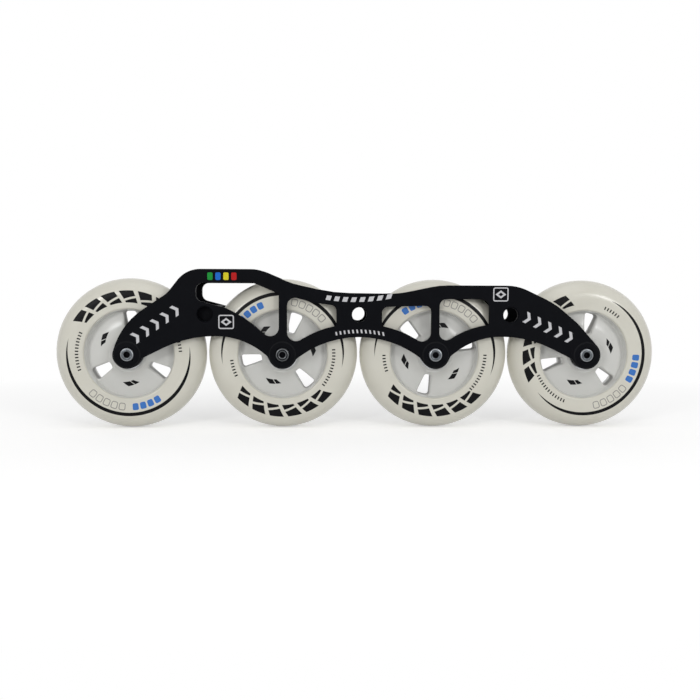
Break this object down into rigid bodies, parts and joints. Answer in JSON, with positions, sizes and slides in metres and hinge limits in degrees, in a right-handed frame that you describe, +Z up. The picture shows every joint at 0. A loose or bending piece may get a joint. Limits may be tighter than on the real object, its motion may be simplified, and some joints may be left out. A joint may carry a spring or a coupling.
{
  "type": "speed inline skate frame",
  "caption": "Speed inline skate frame: a pierced aluminium channel with a raised heel deck and a lower toe deck, carrying large wheels in one line on ball bearings.",
  "frame": {"origin": "on the ground line under the middle of the wheelbase, midway between the side walls", "axes": "+X towards the toe along the line of wheels, +Y to the skater's right through the axles, +Z up"},
  "size_m": [0.445, 0.036, 0.1168],
  "materials": {
    "frame": "black anodised, satin",
    "tyre": "cast polyurethane, satin",
    "core": "moulded, semi-gloss",
    "bearing_steel": "ground and polished",
    "cage": "satin",
    "shield": "pressed sheet",
    "spacer": "turned",
    "axle_steel": "turned, satin"
  },
  "bodies": {
    "frame": {"frame": "frame", "axle_1": "axle_steel", "spacer_1": "spacer", "inner_rings_1": "bearing_steel", "axle_2": "axle_steel", "spacer_2": "spacer", "inner_rings_2": "bearing_steel", "axle_3": "axle_steel", "spacer_3": "spacer", "inner_rings_3": "bearing_steel", "axle_4": "axle_steel", "spacer_4": "spacer", "inner_rings_4": "bearing_steel"},
    "wheel_1": {"tyre_1": "tyre", "hub_1": "core", "outer_rings_1": "bearing_steel", "shields_1": "shield"},
    "wheel_2": {"tyre_2": "tyre", "hub_2": "core", "outer_rings_2": "bearing_steel", "shields_2": "shield"},
    "wheel_3": {"tyre_3": "tyre", "hub_3": "core", "outer_rings_3": "bearing_steel", "shields_3": "shield"},
    "wheel_4": {"tyre_4": "tyre", "hub_4": "core", "outer_rings_4": "bearing_steel", "shields_4": "shield"},
    "ball_set_1": {"balls_1": "bearing_steel", "cages_1": "cage"},
    "ball_set_2": {"balls_2": "bearing_steel", "cages_2": "cage"},
    "ball_set_3": {"balls_3": "bearing_steel", "cages_3": "cage"},
    "ball_set_4": {"balls_4": "bearing_steel", "cages_4": "cage"}
  },
  "joints": [
    {"name": "wheel_spin_1", "type": "hinge", "parent": "frame", "child": "wheel_1", "pos_m": [-0.1675, 0, 0.055], "axis": [0, 1, 0], "continuous": true},
    {"name": "wheel_spin_2", "type": "hinge", "parent": "frame", "child": "wheel_2", "pos_m": [-0.05583, 0, 0.055], "axis": [0, 1, 0], "continuous": true},
    {"name": "wheel_spin_3", "type": "hinge", "parent": "frame", "child": "wheel_3", "pos_m": [0.05583, 0, 0.055], "axis": [0, 1, 0], "continuous": true},
    {"name": "wheel_spin_4", "type": "hinge", "parent": "frame", "child": "wheel_4", "pos_m": [0.1675, 0, 0.055], "axis": [0, 1, 0], "continuous": true},
    {"name": "ball_orbit_1", "type": "hinge", "parent": "frame", "child": "ball_set_1", "pos_m": [-0.1675, 0, 0.055], "axis": [0, 1, 0], "continuous": true},
    {"name": "ball_orbit_2", "type": "hinge", "parent": "frame", "child": "ball_set_2", "pos_m": [-0.05583, 0, 0.055], "axis": [0, 1, 0], "continuous": true},
    {"name": "ball_orbit_3", "type": "hinge", "parent": "frame", "child": "ball_set_3", "pos_m": [0.05583, 0, 0.055], "axis": [0, 1, 0], "continuous": true},
    {"name": "ball_orbit_4", "type": "hinge", "parent": "frame", "child": "ball_set_4", "pos_m": [0.1675, 0, 0.055], "axis": [0, 1, 0], "continuous": true}
  ],
  "couplings": [
    {"joint": "ball_orbit_1", "follows": "wheel_spin_1", "ratio": 0.6323},
    {"joint": "ball_orbit_2", "follows": "wheel_spin_2", "ratio": 0.6323},
    {"joint": "ball_orbit_3", "follows": "wheel_spin_3", "ratio": 0.6323},
    {"joint": "ball_orbit_4", "follows": "wheel_spin_4", "ratio": 0.6323}
  ]
}
